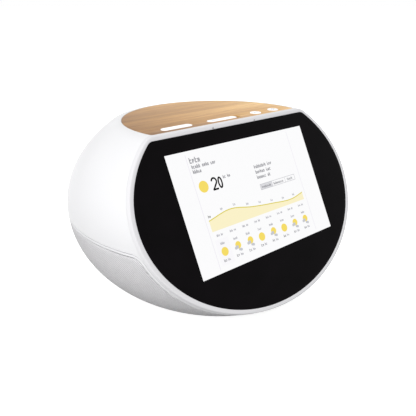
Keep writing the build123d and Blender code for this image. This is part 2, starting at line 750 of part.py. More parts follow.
# ---- Write every sub-part -----------------------------------------------------------------------
PARTS = {
    "upper_housing": upper_housing,
    "lower_housing": lower_housing,
    "base_plate": base_plate,
    "base_foot_pad": base_foot_pad,
    "base_screws": base_screws,
    "grille_frame": grille_frame,
    "grille_fabric": grille_fabric,
    "grille_trim_ring": grille_trim_ring,
    "front_bezel": front_bezel,
    "cover_glass": cover_glass,
    "glass_adhesive": glass_adhesive,
    "lcd_panel": lcd_panel,
    "backlight_unit": backlight_unit,
    "display_frame": display_frame,
    "display_frame_screws": display_frame_screws,
    "mainboard": mainboard,
    "shield_cans": shield_cans,
    "heat_spreader": heat_spreader,
    "board_screws": board_screws,
    "microphone_boots": microphone_boots,
    "microphone_boards": microphone_boards,
    "wood_top_panel": wood_top_panel,
    "pill_button": pill_button,
    "pill_button_plunger": lambda: switch_plunger(PILL_X),
    "slide_switch_knob": slide_switch_knob,
    "slide_shutter": slide_shutter,
    "button_board": button_board,
    "push_switches": push_switches,
    "slide_switch_body": slide_switch_body,
    "button_board_screws": button_board_screws,
    "speaker_enclosure": speaker_enclosure,
    "enclosure_gasket": enclosure_gasket,
    "enclosure_lid": enclosure_lid,
    "enclosure_screws": enclosure_screws,
    "driver_gaskets": driver_gaskets,
    "driver_screws": driver_screws,
    "driver_spiders": driver_spiders,
    "grille_duct_seals": grille_duct_seals,
    "port_housing": port_housing,
    "power_jack": power_jack,
    "power_jack_pin": power_jack_pin,
    "jack_board": jack_board,
    "display_ribbon": display_ribbon,
    "button_ribbon": button_ribbon,
    "speaker_leads": speaker_leads,
    "power_lead": power_lead,
}

for number, x in enumerate(ROUND_X, start=1):
    PARTS[f"round_button_{number}"] = lambda x=x: round_button(x)
    PARTS[f"round_button_plunger_{number}"] = lambda x=x: switch_plunger(x)

DRIVER_PIECES = {
    "driver_basket": driver_basket,
    "driver_magnet": driver_magnet,
    "driver_cone": driver_cone,
    "voice_coil": voice_coil,
    "driver_surround": driver_surround,
}
for name, piece in DRIVER_PIECES.items():
    for hand, side in (("left", -1), ("right", 1)):
        PARTS[f"{name}_{hand}"] = lambda piece=piece, side=side: piece(side)

os.makedirs("parts", exist_ok=True)
for name, build in PARTS.items():
    save(name, build())
    print(name, flush=True)
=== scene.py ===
import json
import math

import bmesh
import bpy
import numpy as np
from mathutils import Matrix, Vector


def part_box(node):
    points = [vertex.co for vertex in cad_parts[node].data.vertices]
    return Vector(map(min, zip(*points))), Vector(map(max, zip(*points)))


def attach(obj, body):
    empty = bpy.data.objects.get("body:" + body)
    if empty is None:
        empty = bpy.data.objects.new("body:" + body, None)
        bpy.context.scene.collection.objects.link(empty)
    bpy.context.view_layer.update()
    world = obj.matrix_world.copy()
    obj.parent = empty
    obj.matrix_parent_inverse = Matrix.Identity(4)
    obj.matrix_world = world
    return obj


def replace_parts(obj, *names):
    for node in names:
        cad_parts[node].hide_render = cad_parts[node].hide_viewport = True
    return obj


# The visual model of a smart speaker with a sloping screen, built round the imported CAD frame: finer
# meshes for the rim, glass, trim ring, grille cloth and wood top, the lit picture, and the marks.

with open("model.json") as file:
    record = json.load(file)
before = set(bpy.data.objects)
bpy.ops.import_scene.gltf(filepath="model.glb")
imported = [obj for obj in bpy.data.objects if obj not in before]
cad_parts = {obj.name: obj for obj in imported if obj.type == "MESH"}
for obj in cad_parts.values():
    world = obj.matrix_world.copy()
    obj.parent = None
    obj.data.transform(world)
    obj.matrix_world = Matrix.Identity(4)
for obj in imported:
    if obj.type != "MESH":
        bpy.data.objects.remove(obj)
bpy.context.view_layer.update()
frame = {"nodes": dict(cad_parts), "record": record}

# ---- Sizes, in metres, in the CAD model's frame ---------------------------------------------------
MM = 0.001
ROOT = "speaker_body"
RNG = np.random.default_rng(7)

HOUSING_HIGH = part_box("upper_housing")[1]
BODY_R = HOUSING_HIGH.x  # egg's radius at its widest level
TOP_Z = HOUSING_HIGH.z
BODY_C = 92.5 * MM  # egg's upright semi-axis
BODY_Z = 88.3 * MM  # height of the widest level
SHOULDER_R = 16.0 * MM  # rounding between the side and the flat top

FRONT_TILT = math.radians(27.0)  # the front plane leans back by this
FRONT_RIGHT = np.array((1.0, 0.0, 0.0))
FRONT_UP = np.array((0.0, math.sin(FRONT_TILT), math.cos(FRONT_TILT)))
FRONT_OUT = np.array((0.0, -math.cos(FRONT_TILT), math.sin(FRONT_TILT)))
SCREEN_MID = np.array((0.0, -46.9 * MM, 101.3 * MM))
SCREEN_W = 150.8  # lit area, in millimetres
SCREEN_H = 94.2

GLASS_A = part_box("cover_glass")[1].x  # glass ellipse: semi-axes, height of its flat top, tip radius
GLASS_B = 86.9 * MM
GLASS_TOP = 59.2 * MM
GLASS_CORNER = 7.0 * MM
GLASS_NEAR = 0.1 * MM  # glass face, behind the rim's face
GLASS_FAR = 1.2 * MM
BEZEL_T = 2.5 * MM  # rim's thickness
MIC_S = 23.0 * MM  # microphone holes: places to the right and up the front, and radius
MIC_T = 60.0 * MM
MIC_R = 0.9 * MM

FABRIC_Z = 84.3 * MM  # grille's upper edge, its distance behind the front plane, and its corner
FABRIC_DEPTH = 5.3 * MM
FABRIC_CORNER = 7.5 * MM
TRIM_W = 2.8 * MM
GRILLE_LOW_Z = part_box("grille_fabric")[0].z
GRILLE_PORT_L = 33.2 * MM  # opening in the cloth round the power port
GRILLE_PORT_H = 19.2 * MM
STITCH = 1.4 * MM

WOOD_LOW, WOOD_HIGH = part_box("wood_top_panel")
BUTTON_LOW, BUTTON_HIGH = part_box("round_button_1")
ROW_Y = (BUTTON_LOW.y + BUTTON_HIGH.y) / 2  # middle line of the controls
CONTROL_GAP = 0.3 * MM
CONTROL_FLANGE = 1.5 * MM  # hidden lip under the wood round each press button
MARK_W = 0.9 * MM
MARK_L = 4.2 * MM
SHARP_DEGREES = 40.0  # faces that meet at more than this have a sharp edge


# ---- Mesh helpers ---------------------------------------------------------------------------------
def add_object(name, data):
    obj = bpy.data.objects.new(name, data)
    bpy.context.scene.collection.objects.link(obj)
    return obj


def full_turn(count):
    """Angles of a closed round, evenly spread."""
    return np.linspace(0, 2 * math.pi, count + 1)[:-1]


def finish_mesh(mesh, sharp_degrees=SHARP_DEGREES):
    """Outward faces, smooth shading, and sharp edges where faces meet at a real angle."""
    bm = bmesh.new()
    bm.from_mesh(mesh)
    bmesh.ops.remove_doubles(bm, verts=bm.verts, dist=1e-7)
    bmesh.ops.recalc_face_normals(bm, faces=bm.faces)
    bm.to_mesh(mesh)
    bm.free()
    mesh.shade_smooth()
    mesh.set_sharp_from_angle(angle=math.radians(sharp_degrees))


def piece(name, verts, faces, material, body=ROOT):
    """A visible piece that rides a body of the CAD model, with the material it is given."""
    mesh = bpy.data.meshes.new(name)
    mesh.from_pydata([tuple(v) for v in verts], [], faces)
    finish_mesh(mesh)
    mesh.materials.append(material)
    obj = add_object(name, mesh)
    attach(obj, body)
    return obj


def loop_grid(loops, close_rows=False, cap_first=False, cap_last=False):
    """Vertices and quads through closed loops of equal length. Caps are fans to the loop's middle."""
    loops = [np.asarray(loop, float) for loop in loops]
    count = len(loops[0])
    verts = list(np.concatenate(loops))
    faces = []
    rows = len(loops)
    last = rows if close_rows else rows - 1
    for row in range(last):
        a = row * count
        b = ((row + 1) % rows) * count
        for i in range(count):
            j = (i + 1) % count
            faces.append((a + i, a + j, b + j, b + i))
    for wanted, row in ((cap_first, 0), (cap_last, rows - 1)):
        if wanted:
            middle = len(verts)
            verts.append(loops[row].mean(0))
            start = row * count
            faces += [(middle, start + i, start + (i + 1) % count) for i in range(count)]
    return verts, faces


def cut(obj, cutter_verts, cutter_faces):
    """Takes a closed shape out of a closed piece."""
    mesh = bpy.data.meshes.new("cutter")
    mesh.from_pydata([tuple(v) for v in cutter_verts], [], cutter_faces)
    finish_mesh(mesh)
    tool = add_object("cutter", mesh)
    change = obj.modifiers.new("cut", "BOOLEAN")
    change.operation = "DIFFERENCE"
    change.solver = "EXACT"
    change.object = tool
    bpy.context.view_layer.update()
    depsgraph = bpy.context.evaluated_depsgraph_get()
    result = bpy.data.meshes.new_from_object(obj.evaluated_get(depsgraph))
    obj.modifiers.clear()
    old = obj.data
    obj.data = result
    bpy.data.objects.remove(tool)
    bpy.data.meshes.remove(old)
    obj.data.shade_smooth()
    obj.data.set_sharp_from_angle(angle=math.radians(SHARP_DEGREES))


# ---- The egg's surface ----------------------------------------------------------------------------
def bisect(test, low, high, steps=50):
    """Where an increasing vector function crosses nought, between low and high."""
    low = np.array(low, float)
    high = np.array(high, float)
    for _ in range(steps):
        middle = (low + high) / 2
        over = test(middle) > 0
        high = np.where(over, middle, high)
        low = np.where(over, low, middle)
    return (low + high) / 2


def ellipse_point(u, a, b):
    """Point of an ellipse at its angle u, with the outward direction there."""
    point = np.array((a * np.cos(u), b * np.sin(u)))
    normal = np.array((np.cos(u) / a, np.sin(u) / b))
    return point, normal / np.hypot(*normal)


def rounding(a, b, top, radius):
    """Arc that joins an ellipse to a level line: its start angle on the ellipse, and its middle."""

    def miss(u):
        point, normal = ellipse_point(u, a, b)
        return point[1] - radius * normal[1] - (top - radius)

    u = float(bisect(miss, 0.0, math.pi / 2))
    point, normal = ellipse_point(u, a, b)
    return u, point - radius * normal


SHOULDER_U, SHOULDER_MID = rounding(BODY_R, BODY_C, TOP_Z - BODY_Z, SHOULDER_R)
SHOULDER_Z = BODY_Z + BODY_C * math.sin(SHOULDER_U)


def egg_radius(z, inset=0.0):
    """Radius of the egg at a height, with its surface moved in by inset. The shoulder is there at 0."""
    share = np.clip((z - BODY_Z) / (BODY_C - inset), -1, 1)
    plain = (BODY_R - inset) * np.sqrt(1 - share**2)
    if inset:
        return plain
    rise = np.clip(z - BODY_Z - SHOULDER_MID[1], 0, SHOULDER_R)
    rounded = SHOULDER_MID[0] + np.sqrt(SHOULDER_R**2 - rise**2)
    return np.where(z > TOP_Z, -1.0, np.where(z > SHOULDER_Z, rounded, plain))


def on_egg(angle, z, inset=0.0):
    """Points at an angle round the body, from the front towards the right, and at a height."""
    radius = egg_radius(z, inset)
    return np.stack((radius * np.sin(angle), -radius * np.cos(angle), z + 0 * angle), -1)


def grille_distance(points, grow):
    """How far a point lies outside the grille's outline, seen along X."""
    y = points[..., 1]
    z = points[..., 2]
    corner = FABRIC_CORNER + grow
    depth = (y - SCREEN_MID[1]) * math.cos(FRONT_TILT) - (z - SCREEN_MID[2]) * math.sin(FRONT_TILT)
    over_top = z - (FABRIC_Z + grow) + corner
    over_front = FABRIC_DEPTH - grow - depth + corner
    lean = math.sin(FRONT_TILT)
    share_top = (over_top - lean * over_front) / (1 - lean**2)
    share_front = (over_front - lean * over_top) / (1 - lean**2)
    to_corner = np.sqrt(share_top**2 + share_front**2 + 2 * lean * share_top * share_front)
    in_corner = (share_top > 0) & (share_front > 0)
    return np.where(in_corner, to_corner, np.maximum(over_top, over_front)) - corner


def grille_edge(angle, grow, inset=0.0):
    """Height of the grille's edge at each angle."""
    low = np.full_like(angle, GRILLE_LOW_Z)
    high = np.full_like(angle, FABRIC_Z + grow + 1 * MM)
    return bisect(lambda z: grille_distance(on_egg(angle, z, inset), grow), low, high)


def on_front(s, t, depth):
    """Points s to the right, t up and depth behind the front plane."""
    s, t, depth = np.broadcast_arrays(s, t, depth)
    return (
        SCREEN_MID
        + s[..., None] * FRONT_RIGHT
        + t[..., None] * FRONT_UP
        - depth[..., None] * FRONT_OUT
    )


def front_loop(points, depth):
    """Points of an (s, t) outline, at a depth behind the front plane."""
    return on_front(points[:, 0], points[:, 1], depth)


def glass_outline(grow=0.0, steps=360):
    """The glass's edge as (s, t) points with their outward directions."""
    u0, middle = rounding(GLASS_A, GLASS_B, GLASS_TOP, GLASS_CORNER)
    lower = np.linspace(math.pi - u0, 2 * math.pi + u0, steps)
    point, normal = ellipse_point(lower, GLASS_A, GLASS_B)
    start = math.atan2(*ellipse_point(u0, GLASS_A, GLASS_B)[1][::-1])
    turn = np.linspace(start, math.pi / 2, 12)[1:]
    arc_normal = np.array((np.cos(turn), np.sin(turn)))
    arc = middle[:, None] + GLASS_CORNER * arc_normal
    line_s = np.linspace(middle[0], -middle[0], 60)[1:-1]
    line = np.array((line_s, np.full_like(line_s, GLASS_TOP)))
    line_normal = np.array((0 * line_s, 1 + 0 * line_s))
    flip = np.array((-1.0, 1.0))[:, None]
    points = np.concatenate((point, arc, line, flip * arc[:, ::-1]), 1)
    normals = np.concatenate((normal, arc_normal, line_normal, flip * arc_normal[:, ::-1]), 1)
    return (points + grow * normals).T, normals.T


def stadium(length, width, steps=24):
    """A pill outline about the origin, anticlockwise."""
    radius = width / 2
    reach = (length - width) / 2
    right = np.linspace(-math.pi / 2, math.pi / 2, steps)
    left = right + math.pi
    ends = [(reach + radius * np.cos(right), radius * np.sin(right))]
    ends.append((-reach + radius * np.cos(left), radius * np.sin(left)))
    return np.concatenate([np.stack(end, -1) for end in ends])


# ---- Materials ------------------------------------------------------------------------------------
def linear(*srgb):
    """A display colour from 0 to 255 as a linear one."""
    share = [c / 255 for c in srgb]
    return tuple(c / 12.92 if c <= 0.04045 else ((c + 0.055) / 1.055) ** 2.4 for c in share) + (1.0,)


def toned(colour, share):
    return tuple(c * share for c in colour[:3]) + (1.0,)


class Material:
    """A node material with short calls for the nodes that the materials below share."""

    def __init__(self, name, colour, roughness, metallic=0.0):
        self.data = bpy.data.materials.new(name)
        self.data.use_nodes = True
        self.tree = self.data.node_tree
        self.shader = self.tree.nodes["Principled BSDF"]
        self.set("Base Color", colour)
        self.set("Roughness", roughness)
        self.set("Metallic", metallic)
        self.place = self.node("ShaderNodeTexCoord").outputs["Object"]

    def node(self, kind, **values):
        node = self.tree.nodes.new(kind)
        for name, value in values.items():
            setattr(node, name, value)
        return node

    def link(self, source, target):
        self.tree.links.new(source, target)

    def set(self, socket, value):
        self.shader.inputs[socket].default_value = value

    def stretched(self, scale):
        mapping = self.node("ShaderNodeMapping")
        mapping.inputs["Scale"].default_value = scale
        self.link(self.place, mapping.inputs["Vector"])
        return mapping.outputs["Vector"]

    def noise(self, scale, detail=3.0, rough=0.5, vector=None):
        noise = self.node("ShaderNodeTexNoise")
        noise.inputs["Scale"].default_value = scale
        noise.inputs["Detail"].default_value = detail
        noise.inputs["Roughness"].default_value = rough
        self.link(vector or self.place, noise.inputs["Vector"])
        return noise.outputs["Fac"]

    def ramp(self, source, stops):
        ramp = self.node("ShaderNodeValToRGB").color_ramp
        node = self.tree.nodes[-1]
        while len(ramp.elements) < len(stops):
            ramp.elements.new(0.5)
        for element, (position, colour) in zip(ramp.elements, stops):
            element.position = position
            element.color = colour
        self.link(source, node.inputs["Fac"])
        return node.outputs["Color"]

    def math(self, operation, a, b=None):
        node = self.node("ShaderNodeMath", operation=operation)
        for socket, value in zip(node.inputs, (a, b)):
            if isinstance(value, (int, float)):
                socket.default_value = value
            elif value is not None:
                self.link(value, socket)
        return node.outputs[0]

    def mix(self, share, a, b, blend="MIX"):
        node = self.node("ShaderNodeMix", data_type="RGBA", blend_type=blend)
        for index, value in ((0, share), (6, a), (7, b)):
            if isinstance(value, (int, float, tuple)):
                node.inputs[index].default_value = value
            else:
                self.link(value, node.inputs[index])
        return node.outputs[2]

    def bump(self, height, depth, strength=1.0):
        bump = self.node("ShaderNodeBump")
        bump.inputs["Distance"].default_value = depth
        bump.inputs["Strength"].default_value = strength
        self.link(height, bump.inputs["Height"])
        self.link(bump.outputs["Normal"], self.shader.inputs["Normal"])

    def vary(self, socket, source, low, high):
        node = self.node("ShaderNodeMapRange")
        node.inputs["To Min"].default_value = low
        node.inputs["To Max"].default_value = high
        self.link(source, node.inputs["Value"])
        self.link(node.outputs["Result"], self.shader.inputs[socket])


def moulded_plastic(name, colour, roughness, grain=0.02 * MM, shine=0.3):
    """Moulded plastic: a fine spark-eroded texture, with slow changes in gloss and tone."""
    mat = Material(name, colour, roughness)
    mat.set("Specular IOR Level", shine)
    slow = mat.noise(14.0, 2.0)
    tones = [(0.3, toned(colour, 0.965)), (0.7, colour)]
    mat.link(mat.ramp(slow, tones), mat.shader.inputs["Base Color"])
    fine = mat.noise(1400.0, 2.0)
    gloss = mat.math("ADD", mat.math("MULTIPLY", slow, 0.5), mat.math("MULTIPLY", fine, 0.5))
    mat.vary("Roughness", gloss, roughness - 0.06, roughness + 0.06)
    mat.bump(fine, grain, 0.35)
    return mat.data


def brushed_metal(name, colour, roughness, scale=(900.0, 60.0, 900.0)):
    """Metal with fine lines along Y, unless the scale says otherwise."""
    mat = Material(name, colour, roughness, 1.0)
    lines = mat.noise(1.0, 4.0, 0.6, mat.stretched(scale))
    mat.vary("Roughness", lines, roughness - 0.08, roughness + 0.14)
    tones = [(0.3, toned(colour, 0.85)), (0.7, colour)]
    mat.link(mat.ramp(lines, tones), mat.shader.inputs["Base Color"])
    mat.bump(lines, 0.01 * MM, 0.4)
    return mat.data


def rubber(name, colour):
    mat = Material(name, colour, 0.75)
    dots = mat.noise(900.0, 4.0, 0.7)
    mat.vary("Roughness", dots, 0.65, 0.9)
    paler = tuple(min(1.0, c * 1.5 + 0.01) for c in colour[:3]) + (1.0,)
    mat.link(mat.ramp(dots, [(0.35, colour), (0.8, paler)]), mat.shader.inputs["Base Color"])
    mat.bump(dots, 0.05 * MM, 0.5)
    return mat.data


def circuit_board(name):
    """Green solder mask with a paler net of tracks."""
    mat = Material(name, linear(20, 84, 48), 0.4)
    cells = mat.node("ShaderNodeTexVoronoi", feature="DISTANCE_TO_EDGE")
    cells.inputs["Scale"].default_value = 260.0
    mat.link(mat.place, cells.inputs["Vector"])
    tracks = [(0.04, linear(30, 110, 62)), (0.08, linear(16, 70, 40))]
    mat.link(mat.ramp(cells.outputs["Distance"], tracks), mat.shader.inputs["Base Color"])
    mat.bump(cells.outputs["Distance"], 0.03 * MM, 0.4)
    return mat.data


def oak(name):
    """Pale oak with straight grain along X: growth bands, long fibres and short dark pores, over
    painted light that runs from darker at the left to lighter at the right.
    """
    mat = Material(name, linear(214, 172, 124), 0.5)
    wander = mat.noise(9.0, 2.0, 0.5, mat.stretched((0.6, 1.0, 1.0)))
    bands = mat.noise(1.0, 3.0, 0.55, mat.stretched((2.2, 48.0, 48.0)))
    fibres = mat.noise(1.0, 5.0, 0.65, mat.stretched((16.0, 520.0, 520.0)))
    pores = mat.noise(1.0, 2.0, 0.5, mat.stretched((60.0, 1500.0, 1500.0)))
    tones = [
        (0.2, linear(128, 92, 50)),
        (0.4, linear(176, 136, 82)),
        (0.58, linear(203, 164, 105)),
        (0.8, linear(222, 188, 130)),
    ]
    parts = mat.node("ShaderNodeSeparateXYZ")
    mat.link(mat.place, parts.inputs[0])
    # Painted light: the tone grows with X, darker at the left end and lighter at the right, for the way
    # the light falls along the top.
    painted_light_slope = mat.math("MULTIPLY", parts.outputs[0], 2.6)
    ground = mat.math("ADD", mat.math("MULTIPLY", bands, 0.75), mat.math("MULTIPLY", wander, 0.25))
    ground = mat.ramp(mat.math("ADD", ground, painted_light_slope), tones)
    streaks = mat.ramp(fibres, [(0.38, linear(190, 156, 106)), (0.6, linear(255, 255, 255))])
    wood = mat.mix(0.5, ground, streaks, "MULTIPLY")
    dark_pores = mat.ramp(pores, [(0.33, linear(150, 108, 70)), (0.4, linear(255, 255, 255))])
    wood = mat.mix(0.4, wood, dark_pores, "MULTIPLY")
    mat.link(wood, mat.shader.inputs["Base Color"])
    mat.vary("Roughness", fibres, 0.42, 0.62)
    mat.bump(mat.math("ADD", fibres, mat.math("MULTIPLY", pores, 0.6)), 0.05 * MM, 0.5)
    return mat.data


def knit(name):
    """Pale grey knitted mesh: rows of small stitches round the body, with melange fibres."""
    mat = Material(name, linear(225, 225, 226), 0.95)
    mat.set("Specular IOR Level", 0.2)
    mat.set("Sheen Weight", 0.1)
    mat.set("Sheen Roughness", 0.5)
    parts = mat.node("ShaderNodeSeparateXYZ")
    mat.link(mat.place, parts.inputs[0])
    x, y, z = parts.outputs
    round_body = mat.math("MULTIPLY", mat.math("ARCTAN2", y, x), BODY_R)
    flat = mat.math("SQRT", mat.math("ADD", mat.math("MULTIPLY", x, x), mat.math("MULTIPLY", y, y)))
    up_body = mat.math("MULTIPLY", mat.math("ARCTAN2", mat.math("SUBTRACT", z, BODY_Z), flat), BODY_R)
    turns = 2 * math.pi / STITCH
    across = mat.math("SINE", mat.math("MULTIPLY", round_body, turns))
    along = mat.math("SINE", mat.math("MULTIPLY", up_body, turns))
    stitch = mat.math("MULTIPLY_ADD", mat.math("MULTIPLY", across, along), 0.5)
    mat.tree.nodes[-1].inputs[2].default_value = 0.5
    fibre = mat.noise(2600.0, 3.0, 0.6)
    cloud = mat.noise(160.0, 3.0, 0.6)
    tone = mat.math("ADD", mat.math("MULTIPLY", stitch, 0.6), mat.math("MULTIPLY", fibre, 0.32))
    tone = mat.math("ADD", tone, mat.math("MULTIPLY", cloud, 0.08))
    stops = [(0.22, linear(150, 149, 151)), (0.5, linear(188, 187, 189)), (0.78, linear(218, 217, 219))]
    mat.link(mat.ramp(tone, stops), mat.shader.inputs["Base Color"])
    mat.bump(mat.math("ADD", stitch, mat.math("MULTIPLY", fibre, 0.5)), 0.3 * MM, 0.9)
    return mat.data


def black_glass(name):
    """Cover glass printed black behind, with the faintest wipe marks in its gloss."""
    mat = Material(name, linear(12, 10, 12), 0.06)
    smear = mat.noise(30.0, 3.0, 0.6, mat.stretched((1.0, 3.0, 1.0)))
    mat.vary("Roughness", smear, 0.04, 0.09)
    tones = [(0.3, linear(7, 6, 7)), (0.7, linear(10, 8, 10))]
    mat.link(mat.ramp(smear, tones), mat.shader.inputs["Base Color"])
    mat.set("Specular IOR Level", 0.03)
    return mat.data


def lit(name, colour):
    """Part of the lit picture: light from the panel's fine pixel grid, under a smooth surface."""
    mat = Material(name, linear(8, 8, 8), 0.5)
    mat.set("Specular IOR Level", 0.0)
    mat.set("Emission Strength", 1.0)
    grid = mat.noise(4000.0, 1.0)
    tones = [(0.4, toned(colour, 0.97)), (0.6, colour)]
    mat.link(mat.ramp(grid, tones), mat.shader.inputs["Emission Color"])
    return mat.data


WHITE = (0.57, 0.57, 0.58, 1.0)
# The rim's colour is the shell's white plastic made darker and a little bluer: painted shade for the
# rim's front face.
RIM_WHITE_PAINTED_SHADE = (0.53, 0.527, 0.54, 1.0)
materials = {
    "white_shell": moulded_plastic("white_shell", WHITE, 0.36, shine=0.15),
    # rim_white is the shell's plastic with painted shade, for the rim's front face.
    "rim_white": moulded_plastic("rim_white", RIM_WHITE_PAINTED_SHADE, 0.4, shine=0.15),
    "white_button": moulded_plastic("white_button", (0.80, 0.80, 0.81, 1.0), 0.3),
    "dark_plastic": moulded_plastic("dark_plastic", linear(36, 36, 38), 0.5),
    "grey_plastic": moulded_plastic("grey_plastic", linear(190, 190, 193), 0.5),
    "knit_fabric": knit("knit_fabric"),
    "black_glass": black_glass("black_glass"),
    "lit_panel": lit("lit_panel", linear(250, 250, 252)),
    "oak": oak("oak"),
    "foot_rubber": rubber("foot_rubber", linear(40, 40, 41)),
    "grey_rubber": rubber("grey_rubber", linear(88, 88, 90)),
    "steel": brushed_metal("steel", linear(196, 196, 198), 0.3),
    "board_green": circuit_board("board_green"),
    "aluminium_sheet": brushed_metal("aluminium_sheet", linear(214, 214, 216), 0.35),
    "brass_pin": brushed_metal("brass_pin", linear(214, 178, 98), 0.25),
    "cone_paper": rubber("cone_paper", linear(60, 60, 60)),
    "copper_coil": brushed_metal("copper_coil", linear(200, 120, 70), 0.35, (60.0, 2400.0, 2400.0)),
    "foam": rubber("foam", linear(58, 58, 60)),
    "ribbon_film": moulded_plastic("ribbon_film", linear(200, 140, 62), 0.35),
    "mark_paint": moulded_plastic("mark_paint", linear(96, 108, 132), 0.5),
}

for entry in frame["record"]["subparts"]:
    node = frame["nodes"][entry["node"]]
    for holder in node.material_slots:
        holder.material = materials[entry["material_slot"]]


# ---- Camera and light -----------------------------------------------------------------------------
CAMERA_AZIMUTH = math.radians(41.3)  # the camera stands to the left of the screen's middle
CAMERA_ELEVATION = math.radians(21.6)
CAMERA_AWAY = 417.2 * MM  # from the screen's middle, along the camera's axis
CAMERA_RIGHT = 39.4 * MM  # how far the screen's middle lies to the right of the camera's axis
CAMERA_UP = 10.4 * MM  # and how far above it

look = np.array((
    math.sin(CAMERA_AZIMUTH) * math.cos(CAMERA_ELEVATION),
    math.cos(CAMERA_AZIMUTH) * math.cos(CAMERA_ELEVATION),
    -math.sin(CAMERA_ELEVATION),
))
side = np.array((math.cos(CAMERA_AZIMUTH), -math.sin(CAMERA_AZIMUTH), 0.0))
over = np.cross(side, look)

camera_data = bpy.data.cameras.new("camera")
camera_data.sensor_width = 36.0
camera_data.lens = 44.74
camera = add_object("camera", camera_data)
camera.matrix_world = Matrix((
    (side[0], over[0], -look[0], 0),
    (side[1], over[1], -look[1], 0),
    (side[2], over[2], -look[2], 0),
    (0, 0, 0, 1),
))
camera.location = SCREEN_MID - CAMERA_AWAY * look - CAMERA_RIGHT * side - CAMERA_UP * over
bpy.context.scene.camera = camera


LIGHT_W = 0.9
LIGHT_AIM = Vector((0.0, 0.0, 0.08))


def soft_light(name, place, power):
    """A round soft lamp aimed at the speaker, left out of its mirror reflections."""
    data = bpy.data.lights.new(name, "AREA")
    data.shape = "DISK"
    data.size = LIGHT_W
    data.energy = power
    lamp = add_object(name, data)
    lamp.location = place
    lamp.rotation_euler = (LIGHT_AIM - Vector(place)).to_track_quat("-Z", "Y").to_euler()
    lamp.visible_glossy = False


soft_light("key_light", (-1.35, -0.75, 0.55), 24.0)
soft_light("top_light", (0.0, 0.0, 1.7), 3.0)
soft_light("right_light", (1.5, 0.35, 0.45), 9.0)
soft_light("rear_light", (0.75, 1.3, 0.45), 9.0)

# A white sky that fades to dark just under the horizon, so that the underside stays in shade.

world = bpy.data.worlds.new("studio")
world.use_nodes = True
sky = world.node_tree
direction = sky.nodes.new("ShaderNodeTexCoord")
height = sky.nodes.new("ShaderNodeSeparateXYZ")
fade = sky.nodes.new("ShaderNodeMapRange")
for socket, value in (("From Min", -0.22), ("From Max", -0.02), ("To Min", 0.04), ("To Max", 1.0)):
    fade.inputs[socket].default_value = value
sky.links.new(direction.outputs["Generated"], height.inputs[0])
sky.links.new(height.outputs["Z"], fade.inputs["Value"])
sky.links.new(fade.outputs["Result"], sky.nodes["Background"].inputs["Strength"])
sky.nodes["Background"].inputs["Color"].default_value = (1.0, 1.0, 1.0, 1.0)
bpy.context.scene.world = world
bpy.context.scene.view_settings.view_transform = "Standard"
bpy.context.scene.view_settings.look = "None"

FLOOR_R = 40.0
FLOOR_SIDES = 96
floor_turn = full_turn(FLOOR_SIDES)
floor_rim = np.stack((FLOOR_R * np.cos(floor_turn), FLOOR_R * np.sin(floor_turn), 0 * floor_turn), -1)
floor_mesh = bpy.data.meshes.new("floor")
floor_mesh.from_pydata([tuple(v) for v in floor_rim], [], [tuple(range(FLOOR_SIDES))])
floor = add_object("floor", floor_mesh)
floor_paint = moulded_plastic("floor_paint", (0.55, 0.55, 0.55, 1.0), 0.9)
floor_shader = floor_paint.node_tree.nodes["Principled BSDF"]
floor_shader.inputs["Emission Color"].default_value = (1.0, 1.0, 1.0, 1.0)
floor_shader.inputs["Emission Strength"].default_value = 0.72
floor_mesh.materials.append(floor_paint)
floor.visible_diffuse = False
floor.visible_shadow = False


# ---- Front rim ------------------------------------------------------------------------------------
def rim_reach(points, directions, depth):
    """How far the body's surface lies from points on the front plane along directions in it."""

    def outside(reach):
        at = front_loop(points + reach[:, None] * directions, depth)
        return np.hypot(at[:, 0], at[:, 1]) - egg_radius(at[:, 2])

    return bisect(outside, np.zeros(len(points)), np.full(len(points), 30 * MM))


def rim_loop(points, directions, depth, inward=0.0):
    reach = rim_reach(points, directions, depth) - inward
    return front_loop(points + reach[:, None] * directions, depth)


def front_rim():
    """Flat rim between the glass and the housing, with soft edges and two microphone holes."""
    edge, directions = glass_outline(0.1 * MM)
    inner_round = 0.3 * MM
    outer_round = 0.7 * MM
    ledge_depth = 1.5 * MM
    back_bevel = 0.12 * MM
    loops = [front_loop(edge, ledge_depth)]
    for angle in np.linspace(0, math.pi / 2, 4):
        out = inner_round * (1 - math.cos(angle))
        depth = inner_round * (1 - math.sin(angle))
        loops.append(front_loop(edge + out * directions, depth))
    for angle in np.linspace(0, math.pi / 2, 5):
        inward = outer_round * (1 - math.sin(angle))
        depth = outer_round * (1 - math.cos(angle))
        loops.append(rim_loop(edge, directions, depth, inward))
    loops.append(rim_loop(edge, directions, BEZEL_T - back_bevel))
    loops.append(rim_loop(edge, directions, BEZEL_T, back_bevel))
    ledge = edge - 5.5 * MM * directions
    loops += [front_loop(ledge, BEZEL_T), front_loop(ledge, ledge_depth)]
    verts, faces = loop_grid(loops, close_rows=True)
    # The rim takes the darker white, which is painted shade on its front face.
    rim = piece("front_rim", verts, faces, materials["rim_white"])
    turn = full_turn(24)
    for s in (-MIC_S, MIC_S):
        hole = np.stack((s + MIC_R * np.cos(turn), MIC_T + MIC_R * np.sin(turn)), -1)
        ends = [front_loop(hole, -1 * MM), front_loop(hole, 4 * MM)]
        cut(rim, *loop_grid(ends, cap_first=True, cap_last=True))
    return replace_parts(rim, "front_bezel")


